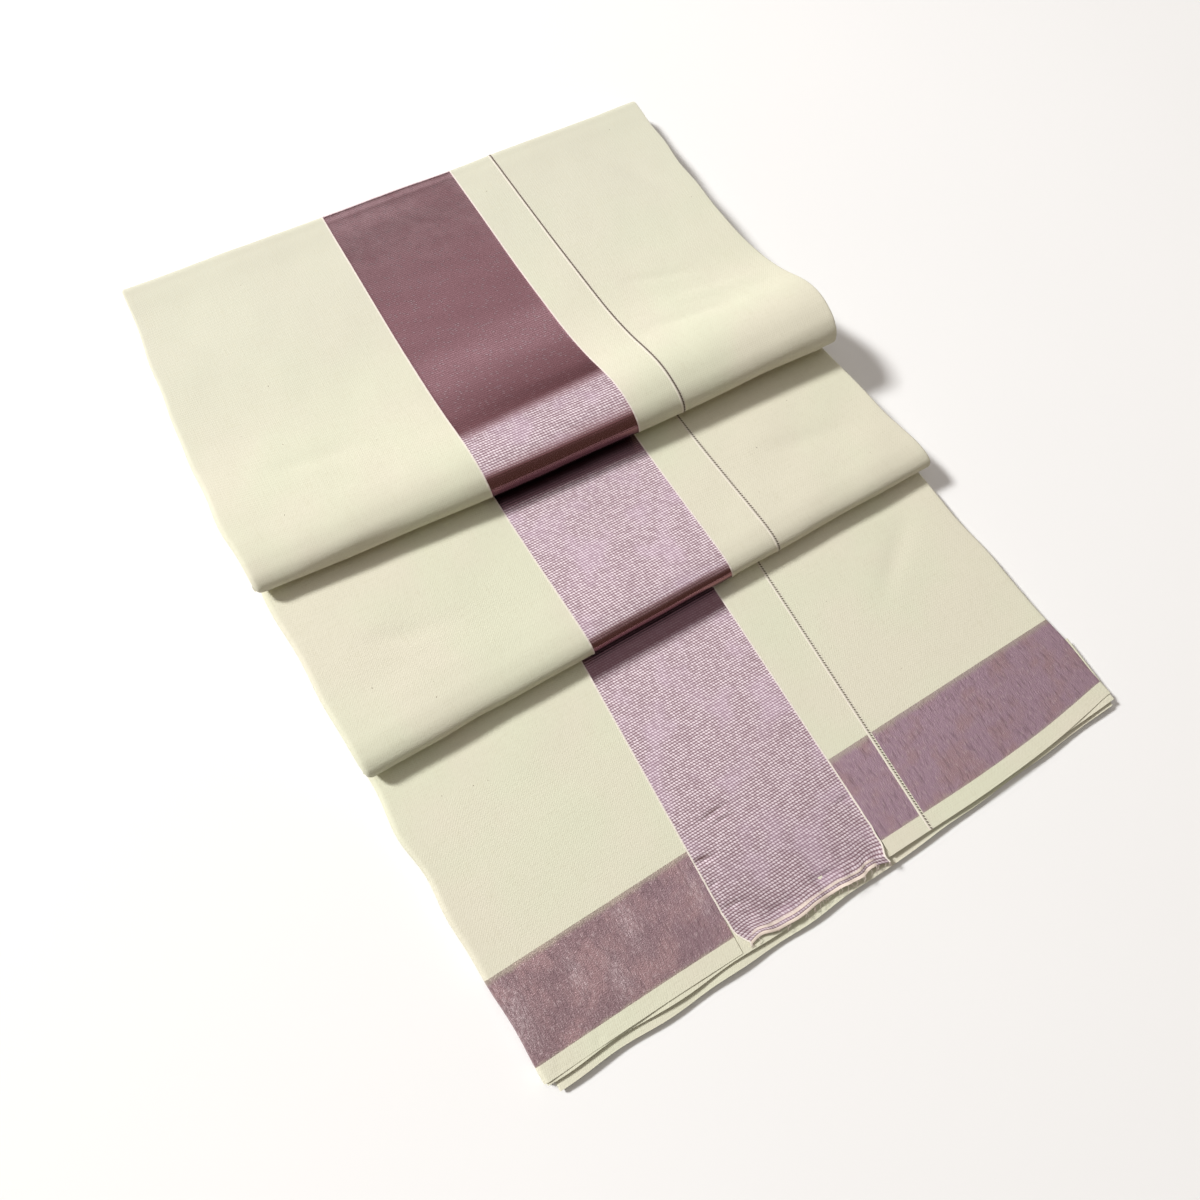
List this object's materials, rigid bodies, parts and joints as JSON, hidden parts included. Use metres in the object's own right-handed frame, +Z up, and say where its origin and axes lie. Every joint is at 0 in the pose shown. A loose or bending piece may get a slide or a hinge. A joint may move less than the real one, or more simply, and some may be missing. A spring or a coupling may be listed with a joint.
{
  "type": "folded saree",
  "caption": "Cotton saree folded lengthwise into a packet and laid in stepped tiers, with a wide metallic band, a woven thread line, a tissue border and soft rolled folds.",
  "frame": {"origin": "middle of the footprint, on the surface that the folded saree lies on", "axes": "+Z up; +Y from the near selvedge edge towards the fold at the back; +X along the near selvedge, to the right as seen from the near edge"},
  "size_m": [0.418, 0.544, 0.0499],
  "materials": {
    "cotton_body": "matte plain-weave unbleached cotton",
    "kasavu_band": "mauve-pink metallic thread woven in fine ribs, sparkling",
    "thread_line": "dark and pale twisted threads woven as a dashed line",
    "border_tissue": "mauve-grey metallic tissue with fine streaks"
  },
  "bodies": {
    "root": {"hidden_layers": "cotton_body", "lower_body_left": "cotton_body", "lower_band": "kasavu_band", "lower_body_centre": "cotton_body", "lower_thread_line": "thread_line", "lower_body_right": "cotton_body", "lower_border_left": "border_tissue", "lower_border_centre": "border_tissue", "lower_border_right": "border_tissue", "lower_selvedge_left": "cotton_body", "lower_selvedge_centre": "cotton_body", "lower_selvedge_right": "cotton_body", "middle_body_left": "cotton_body", "middle_band": "kasavu_band", "middle_body_centre": "cotton_body", "middle_thread_line": "thread_line", "middle_body_right": "cotton_body", "top_body_left": "cotton_body", "top_band": "kasavu_band", "top_body_centre": "cotton_body", "top_thread_line": "thread_line", "top_body_right": "cotton_body"}
  },
  "joints": []
}
